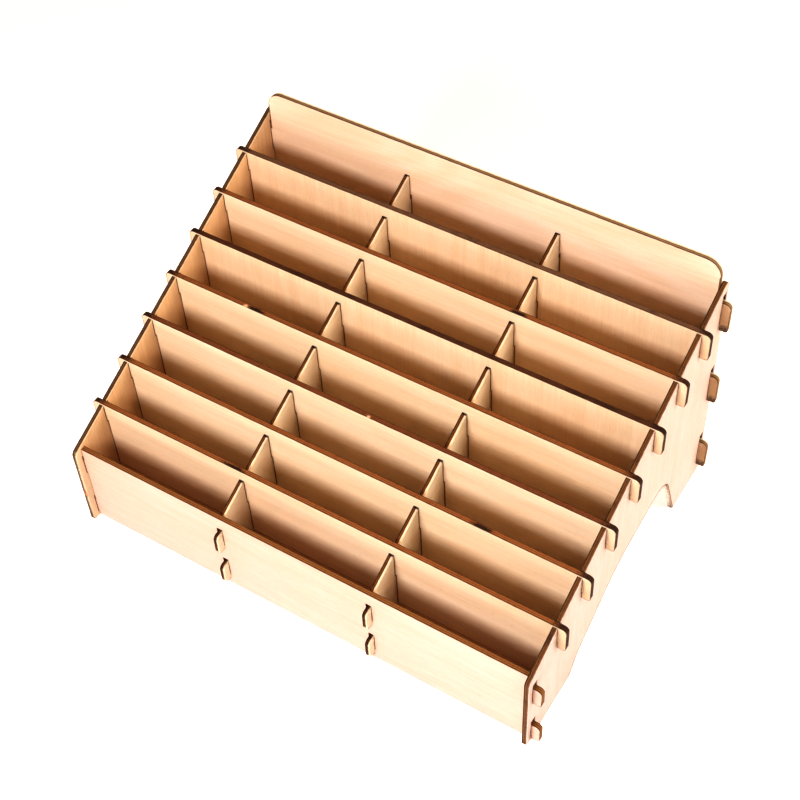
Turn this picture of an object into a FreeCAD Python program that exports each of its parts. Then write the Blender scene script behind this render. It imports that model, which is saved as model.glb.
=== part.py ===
# A free-standing stepped rack of flat plywood boards with three columns and eight rows of compartments.
# Two side panels and two column dividers run front to back, and a front panel, a back panel and a sloping
# floor board join them. Seven row dividers drop into notches from above and lift out again.
# Millimetres. X runs to the right along the rows, Y to the back and Z up. The origin is on the ground,
# in the middle of the side panels' length and of the rack's width.
import FreeCAD, Part
import math
import os

# Sheet and fits
ply = 3.0
slot_play = 0.15          # on each flat side of a board in its slot or notch
end_play = 0.1            # between a board's end and the face it stands against
lip_play = 0.1            # between a hook's lip and the board it grips

# Grid of compartments, clear sizes
column_count = 3
cell_width = 92.7
divider_count = 7
row_gap = 22.3            # between two row dividers
front_row_gap = 21.1      # between the front panel and the first row divider
back_row_gap = 22.0       # between the last row divider and the back panel

# Side panels and the slope that all top edges share
slope_angle = 25.0
slope_start = 60.2        # height of the sides' sloping edge above their front edge
front_margin = 4.5        # side panel in front of the front panel
back_margin = 3.1         # side panel behind the back panel
side_front_round = 4.0
side_back_round = 3.0

# Arch under the side panels and column dividers
front_foot = 47.0
back_foot = 36.0
front_shoulder_run = 9.5
front_shoulder_height = 12.5
front_shoulder_round = 6.0
knee_run = 51.0
knee_height = 39.3
knee_round = 70.0
back_shoulder_run = 18.5
back_shoulder_height = 50.0
back_shoulder_round = 18.0

# Heights of the other boards
front_panel_height = 60.7
back_panel_height = 172.0
back_panel_round = 9.5
column_drop = 6.2         # column dividers' edge below the sides' edge
divider_rise = 1.0        # row divider's top edge above the sides' edge, at its front face
divider_height = 51.5
floor_gap = 0.4           # under the row dividers' lower edges

# Hooks: a neck goes through the slot or notch, and a lip hangs down behind it
hook_reach = 5.0
hook_round = 3.0
lip_round = 1.5
divider_neck = 13.7
divider_lip = 4.5
front_neck = 11.0
front_lip = 3.0
front_hook_tops = (51.0, 14.5)
back_neck = 15.4
back_lip = 5.0
back_hook_tops = (145.2, 87.2, 29.2)
column_neck = 10.7
column_lip = 3.0
column_front_reach = 4.5
column_back_reach = 3.0
column_front_hook_tops = (48.0, 19.8)
column_back_hook_tops = (132.0, 60.0)

# Places that follow, with Y counted from the sides' front edge
rise = math.tan(math.radians(slope_angle))
inner_width = column_count * cell_width + (column_count - 1) * ply
side_face = inner_width / 2
side_outer = side_face + ply
front_panel_y = front_margin
front_panel_back = front_panel_y + ply
first_divider_y = front_panel_back + front_row_gap
row_pitch = row_gap + ply
last_divider_back = first_divider_y + (divider_count - 1) * row_pitch + ply
back_panel_y = last_divider_back + back_row_gap
back_panel_back = back_panel_y + ply
side_depth = back_panel_back + back_margin
column_centres = [(i + 1) * (cell_width + ply) - ply / 2 - side_face for i in range(column_count - 1)]
divider_fronts = [first_divider_y + i * row_pitch for i in range(divider_count)]


def side_edge(y):
    """Height of the side panels' sloping edge."""
    return slope_start + rise * y


def divider_top(front):
    """Height of the top edge of the row divider whose front face is given."""
    return side_edge(front) + divider_rise


def half_lap(front):
    """Height where a row divider's slot and a column divider's notch meet."""
    return divider_top(front) - divider_height / 2


def floor_top(y):
    """Height of the floor board's upper face, just under the row dividers."""
    divider_bottom = divider_top(first_divider_y) - divider_height
    return divider_bottom - floor_gap + rise * (y - first_divider_y - ply)


def rounded_wire(corners, place):
    """Closed wire through (u, v, radius) corners, with a tangent arc where the radius isn't zero."""
    starts, ends, middles = [], [], []
    count = len(corners)
    for i, (u, v, radius) in enumerate(corners):
        corner = FreeCAD.Vector(u, v, 0)
        before = FreeCAD.Vector(corners[i - 1][0], corners[i - 1][1], 0) - corner
        after = FreeCAD.Vector(corners[(i + 1) % count][0], corners[(i + 1) % count][1], 0) - corner
        before.normalize()
        after.normalize()
        half_turn = (math.pi - before.getAngle(after)) / 2
        tangent = radius * math.tan(half_turn)
        starts.append(corner + before * tangent)
        ends.append(corner + after * tangent)
        inward = before + after
        if radius:
            inward.normalize()
        middles.append(corner + inward * (radius / math.cos(half_turn) - radius))
    edges = []
    for i in range(count):
        if corners[i][2]:
            arc = Part.Arc(*[place(p.x, p.y) for p in (starts[i], middles[i], ends[i])])
            edges.append(arc.toShape())
        line = Part.LineSegment(*[place(p.x, p.y) for p in (ends[i], starts[(i + 1) % count])])
        edges.append(line.toShape())
    return Part.Wire(edges)


def board_along_x(corners, front):
    """Upright board across the rack, outlined in X and Z, with its front face at the given Y."""
    wire = rounded_wire(corners, lambda x, z: FreeCAD.Vector(x, front, z))
    return Part.Face(wire).extrude(FreeCAD.Vector(0, ply, 0))


def board_along_y(corners, left):
    """Upright board from front to back, outlined in Y and Z, with its left face at the given X."""
    wire = rounded_wire(corners, lambda y, z: FreeCAD.Vector(left, y, z))
    return Part.Face(wire).extrude(FreeCAD.Vector(ply, 0, 0))


def block(x_range, y_range, z_range):
    """Box between the given limits, used to cut slots and notches."""
    corner = FreeCAD.Vector(x_range[0], y_range[0], z_range[0])
    sizes = [limits[1] - limits[0] for limits in (x_range, y_range, z_range)]
    return Part.makeBox(*sizes, corner)


def around(low, play=slot_play):
    """Limits of a slot for a board that starts at low and is one sheet thick."""
    return (low - play, low + ply + play)


def hook(edge, gripped_face, reach, top, neck, lip):
    """Corners of a hook, from its neck's underside on the board's edge out, down, out and up to its top."""
    outward = math.copysign(1, gripped_face - edge)
    seat = top - neck
    lip_face = gripped_face + outward * lip_play
    tip = gripped_face + outward * reach
    return [
        (edge, seat, 0),
        (lip_face, seat, 0),
        (lip_face, seat - lip, 0),
        (tip, seat - lip, lip_round),
        (tip, top, hook_round),
        (edge, top, 0),
    ]


def mirrored(corners):
    """The same corners on the left of the middle, in the order that closes the outline."""
    return [(-u, v, radius) for u, v, radius in reversed(corners)]


def cut_hook_slots(board, x_range, y_range, tops, neck, lip):
    """Slots as long as the hooks are tall, so that a hook goes in and then drops by its lip."""
    for top in tops:
        board = board.cut(block(x_range, y_range, (top - neck, top + lip)))
    return board


def arch():
    """Corners of the arch between the front foot and the back foot, from front to back."""
    shoulder = front_foot + front_shoulder_run
    back_end = side_depth - back_foot
    return [
        (front_foot, 0, 0),
        (shoulder, front_shoulder_height, front_shoulder_round),
        (front_foot + knee_run, knee_height, knee_round),
        (back_end - back_shoulder_run, back_shoulder_height, back_shoulder_round),
        (back_end, 0, 0),
    ]


def side_panel(left):
    """Side panel with its arch, seven open notches, two front slots and three back slots."""
    corners = [(0, 0, 0)] + arch() + [
        (side_depth, 0, 0),
        (side_depth, side_edge(side_depth), side_back_round),
        (0, side_edge(0), side_front_round),
    ]
    panel = board_along_y(corners, left)
    through = (left - ply, left + 2 * ply)
    for front in divider_fronts:
        seat = divider_top(front) - divider_neck
        panel = panel.cut(block(through, around(front), (seat, divider_top(front) + ply)))
    panel = cut_hook_slots(panel, through, around(front_panel_y), front_hook_tops, front_neck, front_lip)
    return cut_hook_slots(panel, through, around(back_panel_y), back_hook_tops, back_neck, back_lip)


def cross_panel(front, top_corner, tops, neck, lip, column_tops):
    """Front or back panel, hooked into both side panels and slotted for the column dividers' hooks."""
    edge = side_face - end_play
    right = [(edge, 0, 0)]
    for top in sorted(tops):
        right += hook(edge, side_outer, hook_reach, top, neck, lip)
    right.append((edge,) + top_corner)
    panel = board_along_x(right + mirrored(right), front)
    through = (front - ply, front + 2 * ply)
    for centre in column_centres:
        slot = around(centre - ply / 2)
        panel = cut_hook_slots(panel, slot, through, column_tops, column_neck, column_lip)
    return panel


def floor_profile(start, end, extra):
    """Corners of a strip along the floor board's slope, with extra room above it."""
    across = FreeCAD.Vector(math.sin(math.radians(slope_angle)), -math.cos(math.radians(slope_angle)), 0)
    upper = [FreeCAD.Vector(y, floor_top(y), 0) - across * extra for y in (start, end)]
    lower = [point + across * (ply + extra) for point in upper]
    points = (lower[0], lower[1], upper[1], upper[0])
    return [(point.x, point.y, 0) for point in points]


def floor_solid(x_range, start, end, extra=0):
    """Solid strip of the floor board's thickness, or of its slot, between two places along the slope."""
    corners = floor_profile(start, end, extra)
    wire = rounded_wire(corners, lambda y, z: FreeCAD.Vector(x_range[0], y, z))
    return Part.Face(wire).extrude(FreeCAD.Vector(x_range[1] - x_range[0], 0, 0))


floor_start = front_panel_back + end_play
floor_end = back_panel_y - end_play - ply * math.sin(math.radians(slope_angle))
floor_lap = (floor_start + floor_end) / 2


def floor_board():
    """Sloping floor, slit from its front edge to its middle for the two column dividers."""
    board = floor_solid((-side_face + end_play, side_face - end_play), floor_start, floor_end)
    for centre in column_centres:
        slit = floor_solid(around(centre - ply / 2), floor_start - ply, floor_lap, extra=ply)
        board = board.cut(slit)
    return board


def column_divider(centre):
    """Column divider, hooked into the front and back panels, notched from above, slit from behind."""
    left = centre - ply / 2
    front = front_panel_back + end_play
    back = back_panel_y - end_play
    front_edge = []
    for top in sorted(column_front_hook_tops):
        front_edge += hook(front, front_panel_y, column_front_reach, top, column_neck, column_lip)
    back_edge = []
    for top in sorted(column_back_hook_tops):
        back_edge += hook(back, back_panel_back, column_back_reach, top, column_neck, column_lip)
    corners = [(front, 0, 0)] + arch() + [(back, 0, 0)] + back_edge
    corners += [(back, side_edge(back) - column_drop, 0), (front, side_edge(front) - column_drop, 0)]
    divider = board_along_y(corners + front_edge[::-1], left)
    through = (left - ply, left + 2 * ply)
    for front_face in divider_fronts:
        notch = block(through, around(front_face), (half_lap(front_face), divider_top(front_face)))
        divider = divider.cut(notch)
    return divider.cut(floor_solid(through, floor_lap, side_depth + ply, extra=slot_play))


def row_divider(front):
    """Row divider with a hook at each end and two slots from below, over the column dividers."""
    top = divider_top(front)
    bottom = top - divider_height
    edge = side_face - end_play
    end_hook = hook(edge, side_outer, hook_reach, top, divider_neck, divider_lip)
    right = [(edge, bottom, 0)] + end_hook[:-1]
    divider = board_along_x(right + mirrored(right), front)
    lap = half_lap(front) + slot_play
    for centre in column_centres:
        slot = block(around(centre - ply / 2), (front - ply, front + 2 * ply), (bottom - ply, lap))
        divider = divider.cut(slot)
    return divider


def build():
    """All boards by name."""
    front_top = (front_panel_height, 0)
    back_top = (back_panel_height, back_panel_round)
    boards = {
        "left_side_panel": side_panel(-side_outer),
        "right_side_panel": side_panel(side_face),
        "front_panel": cross_panel(
            front_panel_y, front_top, front_hook_tops, front_neck, front_lip, column_front_hook_tops),
        "back_panel": cross_panel(
            back_panel_y, back_top, back_hook_tops, back_neck, back_lip, column_back_hook_tops),
        "floor_board": floor_board(),
    }
    for i, centre in enumerate(column_centres):
        boards["column_divider_%d" % (i + 1)] = column_divider(centre)
    for i, front in enumerate(divider_fronts):
        boards["row_divider_%d" % (i + 1)] = row_divider(front)
    return boards


os.makedirs("parts", exist_ok=True)
for name, board in build().items():
    board.translate(FreeCAD.Vector(0, -side_depth / 2, 0))
    board.exportStep("parts/" + name + ".step")
    box = board.BoundBox
    print("%-18s solids %d volume %.0f valid %s  y %.2f..%.2f  z %.2f..%.2f" % (
        name, len(board.Solids), board.Volume, board.isValid(), box.YMin, box.YMax, box.ZMin, box.ZMax))
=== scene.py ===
import math

import bmesh
import bpy
from mathutils import Matrix, Vector


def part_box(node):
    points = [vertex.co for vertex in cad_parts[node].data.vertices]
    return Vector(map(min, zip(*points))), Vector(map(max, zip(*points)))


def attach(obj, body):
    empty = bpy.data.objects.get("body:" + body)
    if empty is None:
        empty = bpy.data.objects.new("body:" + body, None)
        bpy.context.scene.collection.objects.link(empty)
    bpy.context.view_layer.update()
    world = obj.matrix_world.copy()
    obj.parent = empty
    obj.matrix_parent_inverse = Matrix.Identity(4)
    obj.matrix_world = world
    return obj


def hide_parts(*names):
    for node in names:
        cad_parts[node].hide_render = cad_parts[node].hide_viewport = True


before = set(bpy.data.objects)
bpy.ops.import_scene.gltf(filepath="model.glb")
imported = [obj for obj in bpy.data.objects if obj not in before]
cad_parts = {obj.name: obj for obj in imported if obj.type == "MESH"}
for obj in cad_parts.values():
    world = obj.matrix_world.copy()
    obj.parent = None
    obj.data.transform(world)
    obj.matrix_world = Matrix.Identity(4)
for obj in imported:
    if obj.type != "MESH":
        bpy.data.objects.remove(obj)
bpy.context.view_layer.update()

# Left side panel: a board of 3 mm birch plywood that stands on two feet with an arch between them. A laser
# cuts its outline, the notches for the row dividers and the slots for the hooks of the front and back panels.
# It turns the cut edges brown and burns a thin rim on the faces beside them. Its veneer is the most orange.
table_clearance = 0.001             # a cut lower than this rests on the table
notch_heights = (0.012, 0.039)      # shortest and tallest upright side of a notch or slot
hook_ends = 0.149                   # further out than this, an upright cut is the end of a hook


def burn_beside(cut, x, face_burn, notch_burn, arch_burn):
    """Strength of the burn on a face beside one of its cuts. A cut that rests on the table has none."""
    heights = [v.co.z for v in cut.verts]
    height = max(heights) - min(heights)
    if cut.normal.z < -0.5 and cut.calc_center_median().z < table_clearance:
        return 0.0
    upright = abs(cut.normal.z) < 0.3
    if upright and notch_heights[0] < height < notch_heights[1] and abs(x) < hook_ends:
        return notch_burn
    return arch_burn if cut.normal.z < -0.1 else face_burn


weld_distance = 1e-6
flat_within = math.radians(0.4)
burn_reach = 0.0012                 # from a cut edge into the face
both_burnt, first_burnt = (1.0, 1.0), (1.0, 0.2)    # on the face nearer the axis's start, and on the other


def laser_cut_board(node, through, finishes, face_burns=both_burnt, notch_burn=1.7, arch_burn=1.0):
    """A copy of a board. Its cut edges know their depth in the plies, and a rim on its faces knows the burn."""
    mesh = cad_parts[node].data.copy()
    mesh.materials.clear()
    bm = bmesh.new()
    bm.from_mesh(mesh)
    bmesh.ops.remove_doubles(bm, verts=bm.verts, dist=weld_distance)
    bmesh.ops.dissolve_limit(bm, angle_limit=flat_within, verts=bm.verts, edges=bm.edges)
    ply_depth = bm.verts.layers.float.new("ply_depth")
    burn = bm.loops.layers.float.new("burn")
    depths = [v.co.dot(through) for v in bm.verts]
    near, far = min(depths), max(depths)
    for v in bm.verts:
        v[ply_depth] = (v.co.dot(through) - near) / (far - near)
    for f in bm.faces:
        f.material_index = 0 if abs(f.normal.dot(through)) > 0.5 else 1
    for side, face_burn in zip((-1, 1), face_burns):
        skin = [f for f in bm.faces if f.normal.dot(through) * side > 0.5]
        rim = bmesh.ops.inset_region(bm, faces=skin, thickness=burn_reach, use_even_offset=True,
                                     use_boundary=True)["faces"]
        outline = [(f, edge, cut) for f in rim for edge in f.edges for cut in edge.link_faces
                   if cut.material_index == 1]
        for f, edge, cut in outline:
            strength = burn_beside(cut, edge.verts[0].co.x, face_burn, notch_burn, arch_burn)
            for corner in f.loops:
                if corner.vert in edge.verts:
                    corner[burn] = strength
    bmesh.ops.triangulate(bm, faces=[f for f in bm.faces if len(f.verts) > 4])
    bm.to_mesh(mesh)
    bm.free()
    board = bpy.data.objects.new("board_" + node, mesh)
    bpy.context.scene.collection.objects.link(board)
    for finish in finishes:
        mesh.materials.append(finish)
    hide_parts(node)
    return board


def add_node(tree, kind, feeds, **options):
    """One shader node. Each feed is a number, a colour or the output of another node."""
    made = tree.nodes.new("ShaderNode" + kind)
    for option, choice in options.items():
        setattr(made, option, choice)
    for socket, feed in feeds.items():
        if isinstance(feed, bpy.types.NodeSocket):
            tree.links.new(feed, made.inputs[socket])
        else:
            made.inputs[socket].default_value = feed
    return made.outputs[2] if kind == "Mix" else made.outputs[0]


def arithmetic(tree, operation, *terms):
    """The outcome of a sum, product or other operation on numbers and sockets."""
    return add_node(tree, "Math", dict(enumerate(terms)), operation=operation)


def along_axes(tree, operation, first, second):
    """The outcome of an operation done on x, y and z each."""
    return add_node(tree, "VectorMath", {0: first, 1: second}, operation=operation)


def length_of(tree, offset):
    """The length of a vector."""
    return add_node(tree, "VectorMath", {0: offset}, operation="LENGTH").node.outputs["Value"]


def stain(tree, share, under, over):
    """The colour over laid on the colour under, as thickly as share says."""
    under, over = ((*colour, 1) if isinstance(colour, tuple) else colour for colour in (under, over))
    return add_node(tree, "Mix", {0: share, 6: under, 7: over}, data_type="RGBA", blend_type="MIX")


def noise(tree, place, waves, detail, roughness=0.5):
    """Smooth noise from 0 to 1, with so many waves to the metre along x, y and z."""
    stretched = along_axes(tree, "MULTIPLY", place, waves)
    return add_node(tree, "TexNoise", {"Vector": stretched, "Scale": 1.0, "Detail": detail,
                                       "Roughness": roughness})


def sway(tree, noise_feed, reach, value):
    """The value swayed by a noise, up and down by half the reach at most."""
    return arithmetic(tree, "MULTIPLY_ADD", arithmetic(tree, "SUBTRACT", noise_feed, 0.5), reach, value)


def ramp(tree, feed, low, high, bottom=0.0, top=1.0):
    """A soft rise or fall from bottom to top while the feed goes from low to high."""
    return add_node(tree, "MapRange", {0: feed, 1: low, 2: high, 3: bottom, 4: top},
                    interpolation_type="SMOOTHSTEP")


def lay_marks(tree, place, under, marks):
    """Scorches, stains and pale chips with ragged rims. Each has its place, its reach along x, y and z, its
    colour and its strength."""
    ragged = noise(tree, place, (700, 700, 700), 3)
    for centre, reach, colour, strength in marks:
        offset = along_axes(tree, "SUBTRACT", place, centre)
        away = length_of(tree, along_axes(tree, "DIVIDE", offset, reach))
        away = arithmetic(tree, "MULTIPLY_ADD", ragged, 0.9, away)
        under = stain(tree, ramp(tree, away, 0.85, 1.45, strength, 0.0), under, colour)
    return under


def start_finish(name):
    """A new material, its tree, and the place on the board, in metres."""
    finish = bpy.data.materials.new(name)
    finish.use_nodes = True
    tree = finish.node_tree
    return finish, tree, tree.nodes.new("ShaderNodeTexCoord").outputs["Object"]


def end_finish(tree, colour, roughness, relief, relief_strength, relief_depth, gloss):
    """Feeds the shader with the colour, the roughness and the relief, and sets its gloss."""
    shader = tree.nodes["Principled BSDF"]
    bump = add_node(tree, "Bump", {"Strength": relief_strength, "Distance": relief_depth, "Height": relief})
    tree.links.new(colour, shader.inputs["Base Color"])
    tree.links.new(roughness, shader.inputs["Roughness"])
    tree.links.new(bump, shader.inputs["Normal"])
    shader.inputs["Specular IOR Level"].default_value = gloss


veneer_steps, edge_steps = (0.37, 0.53, 0.71), (0.29, 0.61, 0.43)   # metres that each seed moves the wood by
pale_gains, deep_gains, pore_gain = (1.05, 1.09, 1.16), (0.93, 0.86, 0.78), 0.55    # against the veneer's tone
brightest = 0.94
ring_turns = 62.0                   # sine turns over the broad noise's range, in radians
smoked_brown, burnt_brown = (0.40, 0.18, 0.06), (0.17, 0.050, 0.011)


def birch_veneer(name, grain, across, tone, seed, figure=0.7, streaks=0.8, lean=0.0, marks=()):
    """Sanded rotary-cut birch: fibres, streaks, rings and clouds along the grain, pores, and a burnt rim.
    figure and streaks say how strongly these show, and lean turns the grain by so many degrees."""
    finish, tree, place = start_finish(name)
    turn = grain.cross(across) * math.radians(lean)
    wood = add_node(tree, "Mapping", {"Vector": place, "Location": tuple(seed * step for step in veneer_steps),
                                      "Rotation": tuple(turn)})

    def waves(along, over):
        """Waves to the metre along the grain, and over it in the other two directions."""
        return tuple(along if abs(step) > 0.5 else over for step in grain)

    fibre = noise(tree, wood, waves(38, 1500), 3, 0.6)
    streak = noise(tree, wood, waves(7, 260), 3, 0.6)
    cloud = noise(tree, wood, waves(7, 16), 2)
    broad = noise(tree, wood, waves(4, 20), 1.5, 0.4)
    rings = arithmetic(tree, "SINE", arithmetic(tree, "MULTIPLY", broad, ring_turns))
    pore = ramp(tree, noise(tree, wood, waves(260, 4600), 1), 0.63, 0.72)

    # Each layer's share in the veneer's darkness, and its middle value.
    layers = ((fibre, 0.8, 0.5), (streak, 0.7 * streaks, 0.5), (cloud, 0.6, 0.5), (rings, 0.07 * figure, 0.0))
    level = 0.5 - sum(share * middle for _, share, middle in layers)
    for layer, share, _ in layers:
        level = arithmetic(tree, "MULTIPLY_ADD", layer, share, level)
    pale = tuple(min(c * gain, brightest) for c, gain in zip(tone, pale_gains))
    deep = tuple(c * gain for c, gain in zip(tone, deep_gains))
    colour = stain(tree, ramp(tree, level, 0.0, 1.0), pale, deep)
    colour = stain(tree, arithmetic(tree, "MULTIPLY", pore, 0.35), colour, tuple(c * pore_gain for c in tone))
    colour = lay_marks(tree, place, colour, marks)

    # Light smoke over the whole rim, and a dark line next to the cut.
    burn = add_node(tree, "Attribute", {}, attribute_name="burn").node.outputs["Fac"]
    smoke = noise(tree, place, (260, 260, 260), 3)
    burn = sway(tree, smoke, 0.4, burn)
    colour = stain(tree, ramp(tree, burn, 0.3, 1.2, 0.0, 0.3), colour, smoked_brown)
    colour = stain(tree, ramp(tree, burn, 0.68, 0.94, 0.0, 0.9), colour, burnt_brown)

    roughness = arithmetic(tree, "MULTIPLY_ADD", fibre, 0.25, 0.42)
    roughness = arithmetic(tree, "MULTIPLY_ADD", pore, 0.12, roughness)
    relief = arithmetic(tree, "MULTIPLY_ADD", pore, -0.6, fibre)
    relief = arithmetic(tree, "MULTIPLY_ADD", streak, 0.8, relief)
    end_finish(tree, colour, roughness, relief, relief_strength=0.35, relief_depth=0.00008, gloss=0.3)
    return finish


# Depth through the plies from 0 to 1, and lightness there against the edge's brown.
ply_shades = ((0.0, 0.20), (0.15, 0.40), (0.27, 1.25), (0.38, 1.10), (0.46, 0.65),
              (0.56, 0.65), (0.65, 1.15), (0.78, 1.10), (0.88, 0.50), (1.0, 0.22))
char_black, blotch_black, ridge_black = (0.018, 0.006, 0.003), (0.040, 0.014, 0.006), (0.060, 0.022, 0.009)
ridge_waves, ridge_waves_through = 2600, 80         # to the metre along the edge, and through the board
bare_blend = 0.06


def scorched_edge(name, through, brown, char, seed, bare_from=None, bare_tone=None, marks=(), scorch=None):
    """A laser-cut edge: three plies between dark arrises, blotches of char, and the fine ridges of the beam.
    Deeper than bare_from, the edge keeps the wood's own tone. scorch gives a part of it that is black."""
    finish, tree, place = start_finish(name)
    wood = add_node(tree, "Mapping", {"Vector": place, "Location": tuple(seed * step for step in edge_steps)})
    wander = noise(tree, wood, (420, 420, 420), 2)
    depth = add_node(tree, "Attribute", {}, attribute_name="ply_depth").node.outputs["Fac"]
    depth = sway(tree, wander, 0.16, depth)
    plies = tree.nodes.new("ShaderNodeValToRGB")
    tree.links.new(depth, plies.inputs["Fac"])
    while len(plies.color_ramp.elements) < len(ply_shades):
        plies.color_ramp.elements.new(0.5)
    for stop, (position, shade) in zip(plies.color_ramp.elements, ply_shades):
        stop.position = position
        stop.color = [c * shade for c in brown] + [1]

    # More char lowers the noise level from which the edge is blotched.
    blotch_low, blotch_high = 0.66 - 0.30 * char, 0.86 - 0.26 * char
    blotch = ramp(tree, noise(tree, wood, (75, 75, 75), 4, 0.6), blotch_low, blotch_high, 0.0, 0.85)
    colour = stain(tree, blotch, plies.outputs["Color"], blotch_black)
    waves = tuple(ridge_waves + (ridge_waves_through - ridge_waves) * abs(step) for step in through)
    ridges = noise(tree, wood, waves, 2)
    colour = stain(tree, ramp(tree, ridges, 0.48, 0.75, 0.0, 0.35), colour, ridge_black)
    if bare_from:
        bare = ramp(tree, depth, bare_from - bare_blend, bare_from + bare_blend)
        colour = stain(tree, bare, colour, bare_tone)
    if scorch:
        colour = stain(tree, scorch(tree, place), colour, char_black)
    colour = lay_marks(tree, place, colour, marks)
    end_finish(tree, colour, ramp(tree, ridges, 0.3, 0.7, 0.62, 0.86), arithmetic(tree, "ADD", ridges, wander),
               relief_strength=0.5, relief_depth=0.00012, gloss=0.25)
    return finish


x_way, y_way, z_way = Vector((1, 0, 0)), Vector((0, 1, 0)), Vector((0, 0, 1))
side_arch_burn = 2.8
pale_strip_face, pale_strip_edge = (0.74, 0.60, 0.42), (0.70, 0.54, 0.36)
left_face_marks = (         # a pale strip on the inner face, ahead of the front panel
    ((-0.1420, -0.1040, 0.0300), (0.0020, 0.0042, 0.0600), pale_strip_face, 0.85),
)
left_edge_marks = (         # the same strip on the front edge, and a reddish scorch with its halo
    ((-0.1416, -0.1060, 0.0300), (0.0029, 0.0040, 0.0500), pale_strip_edge, 1.0),
    ((-0.1440, -0.1060, 0.0255), (0.0016, 0.0030, 0.0025), (0.30, 0.07, 0.03), 0.9),
    ((-0.1435, -0.1060, 0.0235), (0.0030, 0.0030, 0.0030), (0.55, 0.22, 0.08), 0.6),
)
left_veneer = birch_veneer("orange_birch", z_way, y_way, (0.80, 0.56, 0.33), 3.1, marks=left_face_marks)
left_edge = scorched_edge("left_side_edge", x_way, (0.15, 0.075, 0.035), 0.3, 1.7, bare_from=0.78,
                          bare_tone=(0.78, 0.56, 0.34), marks=left_edge_marks)
board = laser_cut_board("left_side_panel", x_way, (left_veneer, left_edge), first_burnt,
                        arch_burn=side_arch_burn)
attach(board, "rack")

# Right side panel: the mirror of the left one, of the same plywood, its tone pinker and darker, partly as
# painted shade that offsets the strong light on its outer face. The five slots above the hooks of the front and
# back panels are painted black, and the inner edge of the rear foot is painted nearly white, a painted
# highlight.
panel_middle = 0.1435
front_slots_y, front_slot_tops = -0.0998, (0.0525, 0.0160)
back_slots_y, back_slot_tops = 0.1012, (0.1480, 0.0900, 0.0320)
slot_places = [(front_slots_y, top) for top in front_slot_tops]
slot_places += [(back_slots_y, top) for top in back_slot_tops]
# Painted highlight: the inner edge of the rear foot is painted nearly white, not the wood's own tone.
white_foot_highlight = ((0.1424, 0.0620, 0.0220), (0.0030, 0.0180, 0.0360), (0.93, 0.88, 0.80), 0.95)
# The cut edges of the five slots above the hooks are painted black.
right_edge_marks = [((panel_middle, y, top), (0.0050, 0.0030, 0.0075), char_black, 0.9)
                    for y, top in slot_places] + [white_foot_highlight]
# Partly painted shade: this veneer's tone is darker than the other boards' to offset the strong light on the
# outer face.
right_veneer = birch_veneer("pinkish_shaded_birch", z_way, y_way, (0.655, 0.505, 0.435), 7.7, figure=0.5, streaks=0.7)
right_edge = scorched_edge("right_side_edge", x_way, (0.19, 0.080, 0.024), 0.4, 2.9, bare_from=0.86,
                           bare_tone=(0.66, 0.52, 0.44), marks=right_edge_marks)
board = laser_cut_board("right_side_panel", x_way, (right_veneer, right_edge), first_burnt,
                        arch_burn=side_arch_burn)
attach(board, "rack")

# Front panel: a low board of the same plywood, cream in tone, with its grain along the rack. Its tone is darker
# than the dividers', partly as painted shade that offsets the strong light on its outer face. Its own hooks go
# through both side panels, and four slots, painted black inside, take the hooks of the column dividers.
column_slots_x, column_slot_tops = 0.04785, (0.0495, 0.0213)
# The cut edges inside the four slots are painted black.
front_edge_marks = [((side * column_slots_x, front_slots_y, top), (0.0040, 0.0040, 0.0060), char_black, 0.9)
                    for side in (-1, 1) for top in column_slot_tops]
# Partly painted shade: this veneer's tone is darker than the dividers' to offset the strong light on the outer
# face.
front_veneer = birch_veneer("cream_shaded_birch", x_way, z_way, (0.72, 0.51, 0.402), 5.3, figure=0.5, streaks=0.5,
                            lean=1.5)
front_edge = scorched_edge("front_edge", y_way, (0.29, 0.122, 0.034), 0.15, 4.4, marks=front_edge_marks)
board = laser_cut_board("front_panel", y_way, (front_veneer, front_edge), notch_burn=1.0)
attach(board, "rack")

# Back panel: the tallest board, laser-cut from a sheet with a wavy growth figure, with rounded upper corners.
# Three hooks on each side go through the side panels. They are painted brown, and black at their lower tips.
back_hook_x, back_hook_y, back_hook_tops = 0.148, 0.101, (0.1452, 0.0872, 0.0292)
brown_below_top, tip_below_top = 0.0100, 0.0205
# Brown over each back hook, darker towards its lower tip, which is black.
back_face_marks = []
for side in (-1, 1):
    for top in back_hook_tops:
        brown_place = (side * back_hook_x, back_hook_y, top - brown_below_top)
        tip_place = (side * back_hook_x, back_hook_y, top - tip_below_top)
        back_face_marks += [(brown_place, (0.0070, 0.0100, 0.0180), (0.42, 0.235, 0.095), 0.7),
                            (tip_place, (0.0070, 0.0100, 0.0062), (0.05, 0.022, 0.012), 0.8)]
back_veneer = birch_veneer("back_birch", x_way, z_way, (0.88, 0.685, 0.505), 9.2, figure=1.2, lean=-1.0,
                           marks=back_face_marks)
back_edge = scorched_edge("back_edge", y_way, (0.33, 0.21, 0.12), 0.1, 6.1, bare_from=0.7,
                          bare_tone=(0.85, 0.72, 0.56))
board = laser_cut_board("back_panel", y_way, (back_veneer, back_edge), first_burnt)
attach(board, "rack")

# Column dividers: two pale plywood boards on edge from front to back, notched from above for the row dividers.
# Their paler tone is partly painted light for their right-hand faces, which the lamps leave too dim. Hooks at
# both ends hold them in the slots of the front and back panels. The laser burnt the front hooks' edges and the
# last bit of the top edge ahead of each notch black. Each front hook's face has a dark line where it leaves the
# front panel, partly burn and partly painted shade.
first_notch = (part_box("row_divider_1")[0].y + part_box("row_divider_1")[1].y) / 2
notch_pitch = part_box("row_divider_2")[0].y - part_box("row_divider_1")[0].y
burn_start, burn_full = 0.0031, 0.0024      # ahead of the middle of a notch
hooks_end, top_edge_start = -0.0985, -0.0980


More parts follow.
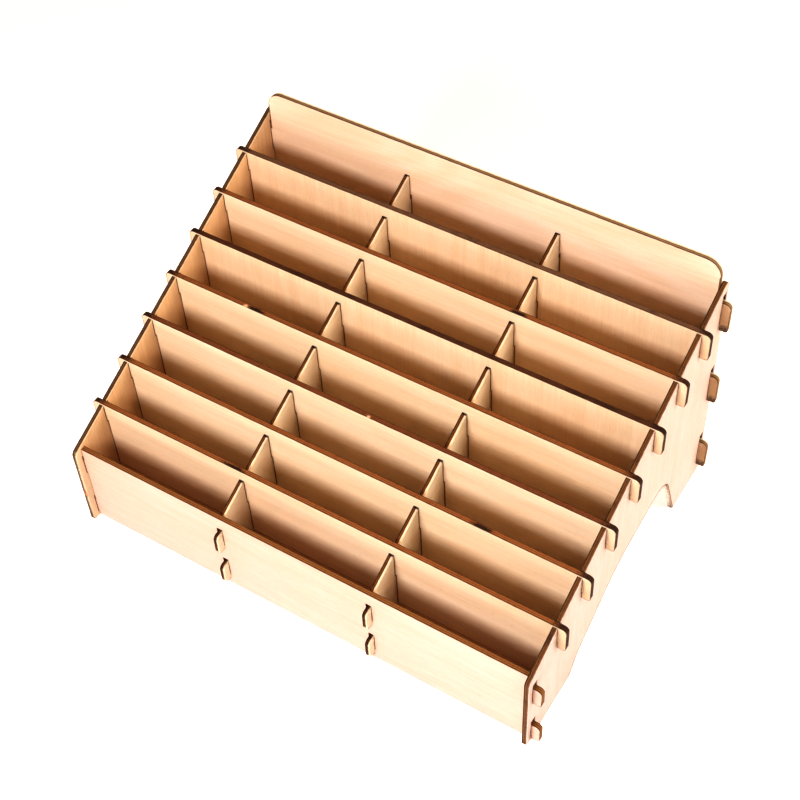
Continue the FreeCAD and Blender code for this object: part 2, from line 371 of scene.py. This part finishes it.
def before_notches(tree, place):
    """High on the last bit of the top edge ahead of each notch. Nothing on the front hooks."""
    y = add_node(tree, "SeparateXYZ", {0: place}).node.outputs["Y"]
    past_notch = arithmetic(tree, "FLOORED_MODULO", arithmetic(tree, "SUBTRACT", y, first_notch), notch_pitch)
    last_bit = ramp(tree, past_notch, notch_pitch - burn_start, notch_pitch - burn_full, 0.0, 0.9)
    return arithmetic(tree, "MULTIPLY", last_bit, ramp(tree, y, hooks_end, top_edge_start))


column_nodes = ("column_divider_1", "column_divider_2")
hook_heights, hook_roots_y, hook_lips_y = (0.0425, 0.0143), -0.1009, -0.1035
front_hooks = [(*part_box(node), height) for node in column_nodes for height in hook_heights]
# Partly burn and partly painted shade: a dark line on each front hook's face where it leaves the front panel.
hook_root_burn_and_shade = [((high.x, hook_roots_y, height), (0.0030, 0.0010, 0.0085), (0.10, 0.05, 0.02), 0.8)
                   for low, high, height in front_hooks]
hook_edge_marks = [((low.x, hook_lips_y, height), (0.0033, 0.0047, 0.0100), char_black, 0.93)
                   for low, high, height in front_hooks]
# Partly painted light: the pale tone lifts the right-hand faces, which the lamps leave too dim.
column_veneer = birch_veneer("column_lit_birch", y_way, z_way, (0.94, 0.80, 0.62), 11.9, figure=0.3, streaks=0.4,
                             marks=hook_root_burn_and_shade)
column_edge = scorched_edge("column_edge", x_way, (0.19, 0.062, 0.012), 0.3, 3.3, bare_from=0.62,
                            bare_tone=(0.85, 0.66, 0.45), marks=hook_edge_marks, scorch=before_notches)
for node in column_nodes:
    board = laser_cut_board(node, x_way, (column_veneer, column_edge), first_burnt)
    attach(board, "rack")

# Floor board: one sloping board of the same plywood, in an orange veneer, that closes all compartments below.
# It is slit from its front edge to its middle and slides over the column dividers, which are slit from behind.
floor_slope = math.radians(25)
floor_normal = Vector((0, -math.sin(floor_slope), math.cos(floor_slope)))
floor_veneer = birch_veneer("floor_birch", x_way, y_way, (0.85, 0.52, 0.27), 13.4)
floor_edge = scorched_edge("floor_edge", z_way, (0.30, 0.09, 0.028), 0.6, 5.2)
board = laser_cut_board("floor_board", floor_normal, (floor_veneer, floor_edge))
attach(board, "rack")

# Row dividers: seven boards across the rack, each lifted out by hand. They are notched from below over the
# column dividers, and hang in the side panels' notches by a hook at each end. Each is cut from its own piece
# of veneer, two of them with the grain upright, and has its own scorches and chips on its top edge.
chip_pale, hook_black, dull_birch = (0.80, 0.55, 0.33), (0.028, 0.010, 0.005), (0.70, 0.52, 0.36)
along, upright = (x_way, z_way), (z_way, x_way)
divider_looks = (           # the veneer's tone, the edge's brown, the share of char on the edge, and the grain
    ((0.830, 0.655, 0.455), (0.330, 0.125, 0.036), 0.20, along),
    ((0.845, 0.680, 0.480), (0.330, 0.125, 0.036), 0.25, along),
    ((0.855, 0.690, 0.495), (0.230, 0.080, 0.026), 0.35, along),
    ((0.850, 0.680, 0.475), (0.310, 0.118, 0.034), 0.20, along),
    ((0.850, 0.660, 0.450), (0.115, 0.040, 0.015), 0.70, upright),
    ((0.860, 0.680, 0.475), (0.310, 0.118, 0.034), 0.25, along),
    ((0.855, 0.660, 0.450), (0.200, 0.105, 0.055), 0.50, upright),
)
top_edge_spots = (          # divider, x, distance behind the edge's middle, reach along x, and colour
    (1, -0.053, -0.0009, 0.0100, char_black),
    (2, 0.087, -0.0004, 0.0085, char_black),
    (3, 0.003, -0.0012, 0.0014, chip_pale),
    (4, -0.087, -0.0004, 0.0075, char_black),
    (4, -0.094, -0.0010, 0.0018, chip_pale),
    (6, 0.051, -0.0004, 0.0070, char_black),
)
black_hooks_x, black_below_top = 0.1500, 0.006
dull_hooks_x, dull_below_top = 0.1485, 0.009
for number, (tone, brown, char, (grain, across)) in enumerate(divider_looks, 1):
    node = "row_divider_%d" % number
    low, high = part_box(node)
    middle, top = (low.y + high.y) / 2, high.z
    spots = [((x, middle + behind, top), (reach, 0.0019, 0.0012), colour, 0.95)
             for divider, x, behind, reach, colour in top_edge_spots if divider == number]
    black_hooks, dull_hooks = [], []
    for side in (-1, 1):
        black_place = (side * black_hooks_x, middle, top - black_below_top)
        dull_place = (side * dull_hooks_x, middle, top - dull_below_top)
        black_hooks += [(black_place, (0.0110, 0.0080, 0.0190), hook_black, 0.92)]
        dull_hooks += [(dull_place, (0.0065, 0.0060, 0.0160), dull_birch, 0.6)]
    veneer = birch_veneer("divider_birch_%d" % number, grain, across, tone, 14.7 + 2.3 * number,
                          marks=dull_hooks)
    edge = scorched_edge("divider_edge_%d" % number, y_way, brown, char, 6.1 + 1.9 * number,
                         marks=spots + black_hooks)
    board = laser_cut_board(node, y_way, (veneer, edge))
    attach(board, "divider_%d" % number)

# Floor: a plain pale sheet under the rack that glows like a light table, so it stays white in the rack's
# shade and far away. The glow is strongest under the rack's right rear half.
floor_size = 8
glow_centre = (0.12, 0.04, 0)
bpy.ops.mesh.primitive_plane_add(size=floor_size)
floor = bpy.context.object
floor.name = "floor"
paper, paper_tree, floor_place = start_finish("pale_sheet")
sheet = paper_tree.nodes["Principled BSDF"]
sheet.inputs["Base Color"].default_value = (0.92, 0.92, 0.92, 1)
sheet.inputs["Roughness"].default_value = 0.9
sheet.inputs["Emission Color"].default_value = (1, 1, 1, 1)
glow_away = length_of(paper_tree, along_axes(paper_tree, "SUBTRACT", floor_place, glow_centre))
near_glow = ramp(paper_tree, glow_away, 0.10, 0.30, 0.70, 0.40)
far_glow = ramp(paper_tree, glow_away, 0.5, 1.5, 0.0, 0.6)
glow = arithmetic(paper_tree, "ADD", near_glow, far_glow)
paper_tree.links.new(glow, sheet.inputs["Emission Strength"])
floor.data.materials.append(paper)

# Lights: plain square softboxes aimed at the middle of the rack. The strongest two stand in front of it and to
# its right, a warm one hangs behind and above, and a weak one lifts the left side.
lit_point = Vector((0, 0, 0.08))


def softbox(name, place, size, power, tint=(1, 1, 1)):
    """A square lamp that isn't seen itself. Its size is in metres and its power in watts."""
    light = bpy.data.lights.new(name, "AREA")
    light.shape = "SQUARE"
    light.size = size
    light.energy = power
    light.color = tint
    lamp = bpy.data.objects.new(name, light)
    lamp.location = place
    lamp.rotation_euler = (lit_point - Vector(place)).to_track_quat("-Z", "Y").to_euler()
    lamp.visible_camera = False
    bpy.context.scene.collection.objects.link(lamp)


softbox("front_box", (0, -0.65, 0.52), 0.3, 6.1, (0.97, 1, 1.08))
softbox("top_box", (0, 0.6, 0.9), 0.4, 4.2, (1, 0.80, 0.56))
softbox("right_box", (0.78, 0.25, 0.58), 0.45, 6.6, (1, 0.96, 0.90))
softbox("left_box", (-0.8, -0.4, 0.4), 0.35, 0.45)

# Room: white round the horizon and a weaker warm light from above, as from a wooden ceiling, which fills the
# compartments' shade with brown. The picture's gamma gives the photograph's contrast.
horizon, ceiling = 0.05, 0.24
white, warm = (1, 1, 1), (1, 0.70, 0.42)
world = bpy.data.worlds.new("studio")
world.use_nodes = True
sky = world.node_tree
background = sky.nodes["Background"]
looked_at = sky.nodes.new("ShaderNodeTexCoord").outputs["Generated"]
height = add_node(sky, "SeparateXYZ", {0: looked_at}).node.outputs["Z"]
whiteness = ramp(sky, height, horizon, ceiling, 1.0, 0.0)
sky.links.new(stain(sky, whiteness, warm, white), background.inputs["Color"])
sky.links.new(ramp(sky, height, horizon, ceiling, 0.75, 0.26), background.inputs["Strength"])
bpy.context.scene.world = world
bpy.context.scene.view_settings.view_transform = "Standard"
bpy.context.scene.view_settings.gamma = 0.7

# Camera: the photograph's viewing angle, from the right of the front and well above, looking down on the open
# compartments. Its place, turn and lens were fitted to the corners of the boards in the photograph.
camera_place = (0.3184, -0.4578, 0.7463)
camera_right = Vector((0.8530, 0.5210, -0.0309)).normalized()
camera_forward = Vector((-0.3626, 0.5490, -0.7531)).normalized()
camera_up = camera_right.cross(camera_forward)
camera_data = bpy.data.cameras.new("camera")
camera_data.sensor_width = 36
camera_data.lens = 70.885
camera_data.shift_x = -0.01723
camera_data.shift_y = -0.0383
camera = bpy.data.objects.new("camera", camera_data)
camera_turn = Matrix((camera_right, camera_up, -camera_forward)).transposed().to_4x4()
camera.matrix_world = Matrix.Translation(camera_place) @ camera_turn
bpy.context.scene.collection.objects.link(camera)
bpy.context.scene.camera = camera
